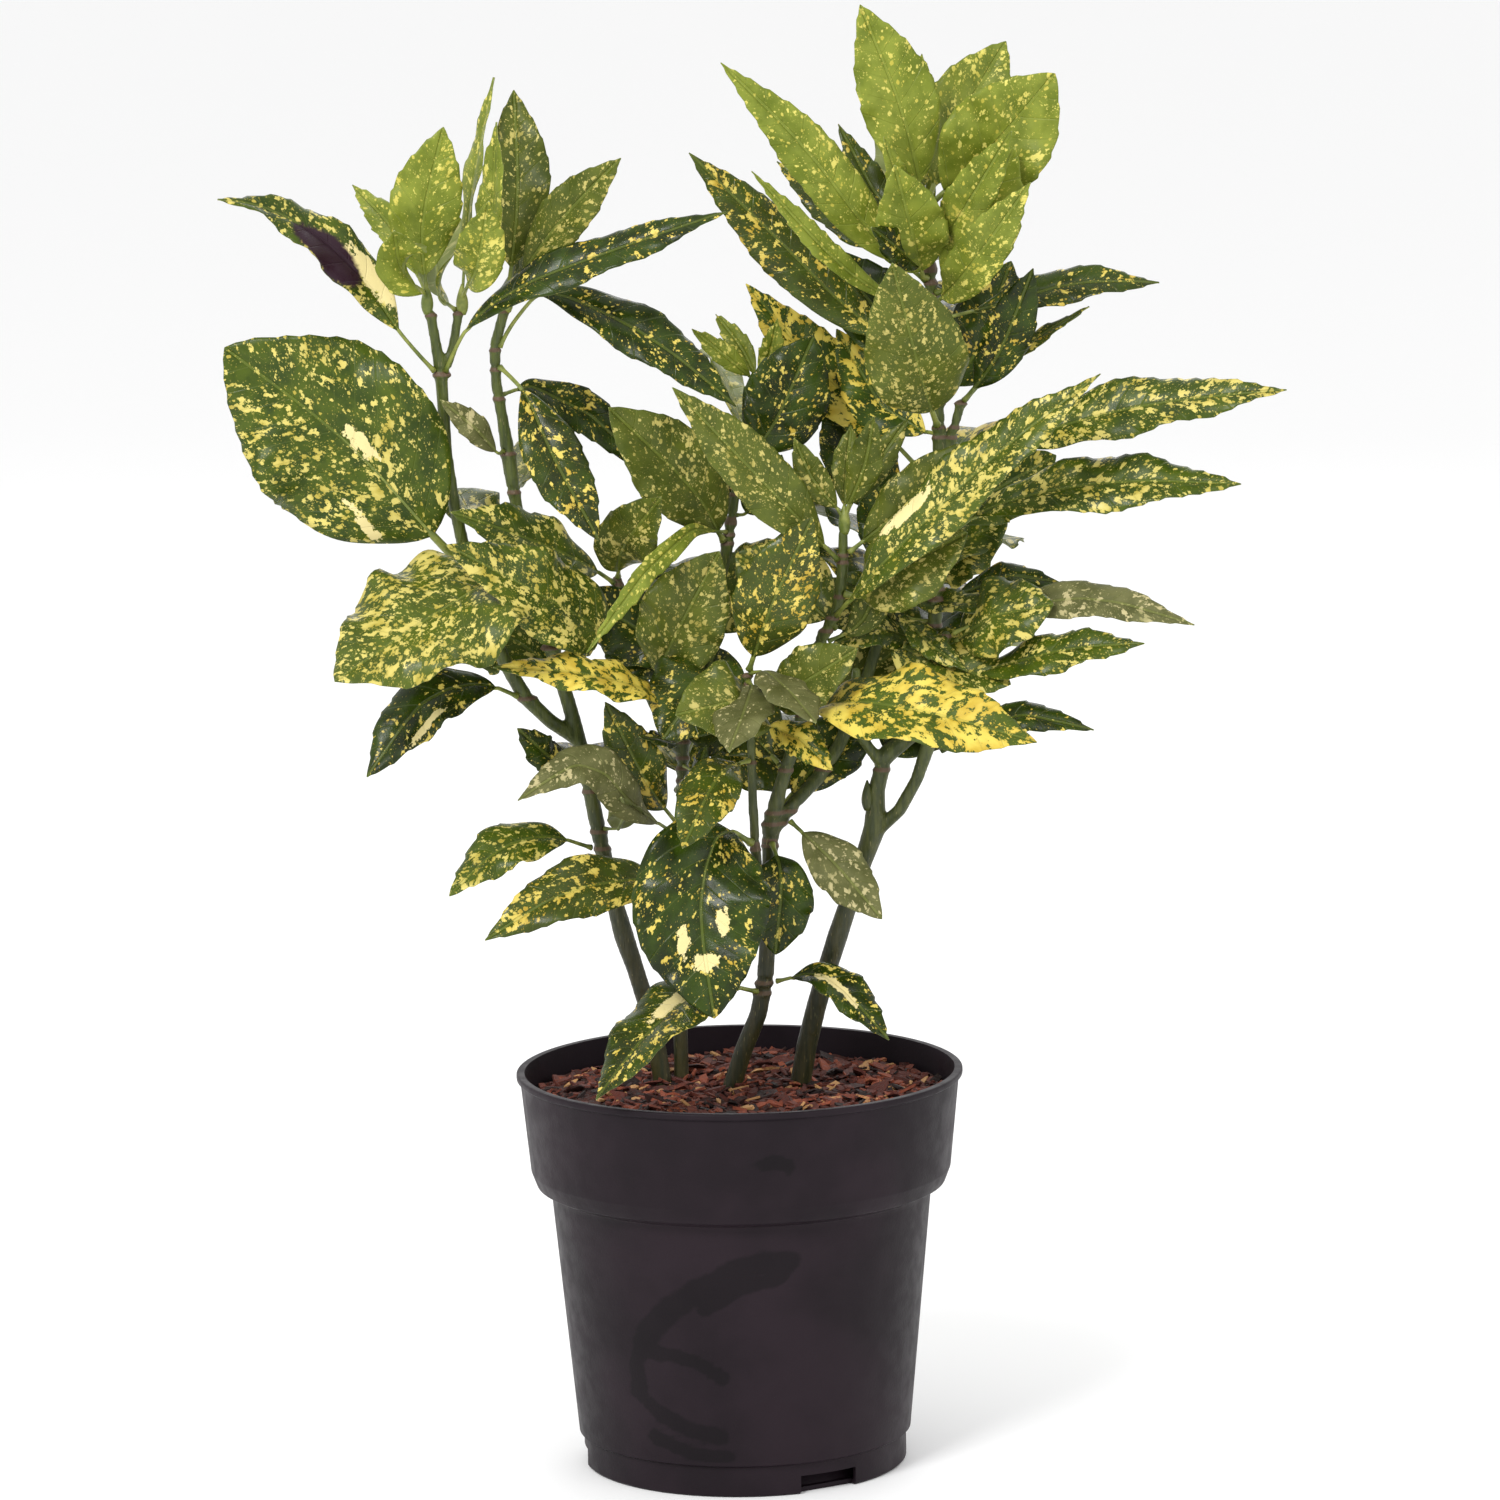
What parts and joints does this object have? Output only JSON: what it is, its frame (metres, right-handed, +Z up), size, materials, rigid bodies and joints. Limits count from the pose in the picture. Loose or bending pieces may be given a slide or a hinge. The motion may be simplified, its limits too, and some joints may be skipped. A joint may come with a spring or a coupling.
{
  "type": "potted japanese laurel",
  "caption": "Bushy evergreen house plant with gold-spotted, toothed, pointed leaves on several upright green stems, growing in a round tapered nursery pot.",
  "frame": {"origin": "centre of the underside of the pot's floor, on the surface that the pot stands on", "axes": "+Z up along the pot's axis, -Y towards the front of the plant, +X to the right"},
  "size_m": [0.44, 0.21, 0.621],
  "materials": {
    "pot_plastic": "semi-matt black polypropylene with faint water marks",
    "bark_mix": "loose moist peat and reddish bark chips",
    "stem_green": "smooth green bark with brown leaf nodes",
    "leaf_dark": "glossy dark green with gold spots",
    "leaf_dusted": "green closely dusted with pale gold",
    "leaf_golden": "golden yellow with green flecks",
    "leaf_olive": "olive green with faint pale spots",
    "leaf_young": "fresh light green with small yellow spots",
    "leaf_pale": "matt grey-green underside with cream blotches"
  },
  "bodies": {
    "root": {"pot": "pot_plastic", "potting_mix": "bark_mix", "stem_left": "stem_green", "stem_back": "stem_green", "stem_centre": "stem_green", "stem_right": "stem_green", "leaf_left_long": "leaf_dusted", "leaf_left_bridge": "leaf_dark", "leaf_left_arched": "leaf_dark", "leaf_left_hanging": "leaf_dark", "leaf_left_large": "leaf_dusted", "leaf_left_forward": "leaf_dusted", "leaf_left_glossy": "leaf_dark", "leaf_left_low": "leaf_dusted", "leaf_left_rear": "leaf_dark", "leaf_back_golden": "leaf_golden", "leaf_back_dusted": "leaf_dusted", "leaf_back_shade": "leaf_dark", "leaf_back_small": "leaf_olive", "leaf_back_olive": "leaf_olive", "leaf_back_glossy": "leaf_dark", "leaf_back_broad": "leaf_olive", "leaf_back_shining": "leaf_dark", "leaf_back_folded": "leaf_pale", "leaf_back_low": "leaf_dark", "leaf_back_rear": "leaf_dusted", "leaf_centre_speckled": "leaf_olive", "leaf_centre_gold": "leaf_golden", "leaf_centre_front": "leaf_dusted", "leaf_centre_light": "leaf_olive", "leaf_centre_upright": "leaf_dark", "leaf_centre_grey": "leaf_olive", "leaf_centre_golden": "leaf_golden", "leaf_front_hanging": "leaf_dark", "leaf_front_upper": "leaf_dark", "leaf_centre_dark": "leaf_dark", "leaf_centre_matt": "leaf_pale", "leaf_front_rim": "leaf_dark", "leaf_front_yellow": "leaf_dark", "leaf_top_cross": "leaf_young", "leaf_top_narrow": "leaf_young", "leaf_top_dark": "leaf_dark", "leaf_top_shade": "leaf_dark", "leaf_top_right": "leaf_young", "leaf_top_gloss": "leaf_young", "leaf_top_broad": "leaf_olive", "leaf_top_rear": "leaf_dark", "leaf_side_dark": "leaf_dark", "leaf_top_reaching": "leaf_dark", "leaf_side_long": "leaf_dusted", "leaf_side_pale": "leaf_dusted", "leaf_side_rear": "leaf_dusted", "leaf_low_grey": "leaf_pale", "leaf_low_pale": "leaf_dusted", "shoot_tip_left": "leaf_young", "shoot_tip_left_mid": "leaf_young", "shoot_tip_left_inner": "leaf_olive", "shoot_tip_back": "leaf_young", "shoot_tip_centre": "leaf_olive", "shoot_tip_right": "leaf_young"}
  },
  "joints": []
}
